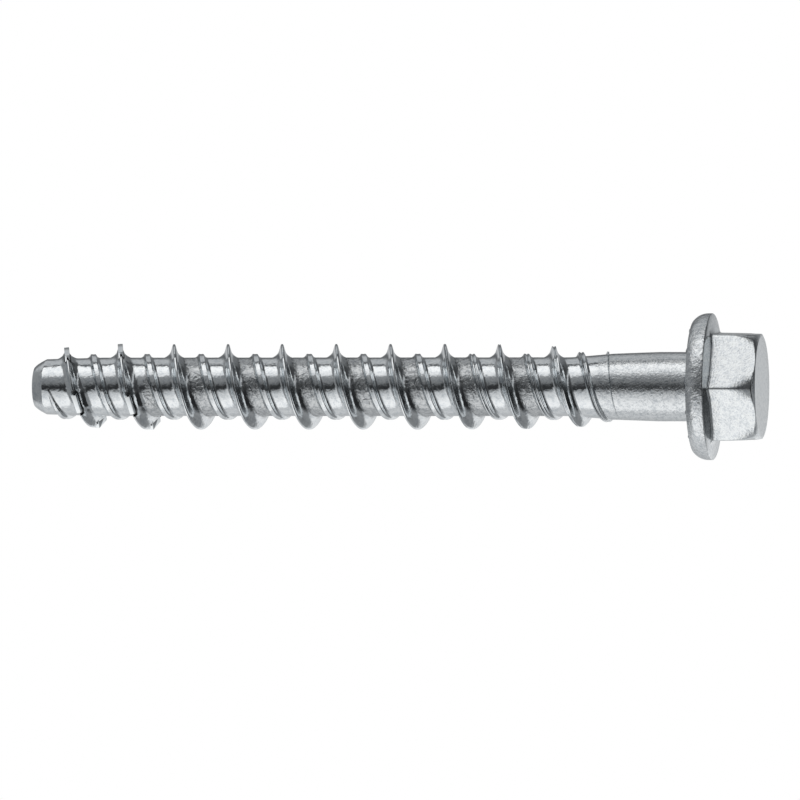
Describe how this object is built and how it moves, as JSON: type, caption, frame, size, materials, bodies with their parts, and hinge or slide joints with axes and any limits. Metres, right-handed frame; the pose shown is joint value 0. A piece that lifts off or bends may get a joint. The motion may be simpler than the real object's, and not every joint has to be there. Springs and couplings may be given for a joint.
{
  "type": "concrete screw",
  "caption": "Hexagon flange head screw anchor for concrete, with a high cutting thread, a low second thread and hard cutting inserts near its tip.",
  "frame": {"origin": "centre of the flat end face of the hexagon head, which the screw stands on", "axes": "+Z runs along the screw from the head to the tip; +X goes through the middle of one flat of the hexagon"},
  "size_m": [0.0207, 0.0206, 0.1045],
  "materials": {
    "galvanized_steel": "hot-dip galvanized, rough and slightly mottled",
    "hard_metal": "ground and galvanized over, brighter than the body"
  },
  "bodies": {
    "root": {"screw_body": "galvanized_steel", "cutting_insert_1": "hard_metal", "cutting_insert_2": "hard_metal", "cutting_insert_3": "hard_metal", "cutting_insert_4": "hard_metal", "cutting_insert_5": "hard_metal", "cutting_insert_6": "hard_metal", "cutting_insert_7": "hard_metal", "cutting_insert_8": "hard_metal"}
  },
  "joints": []
}
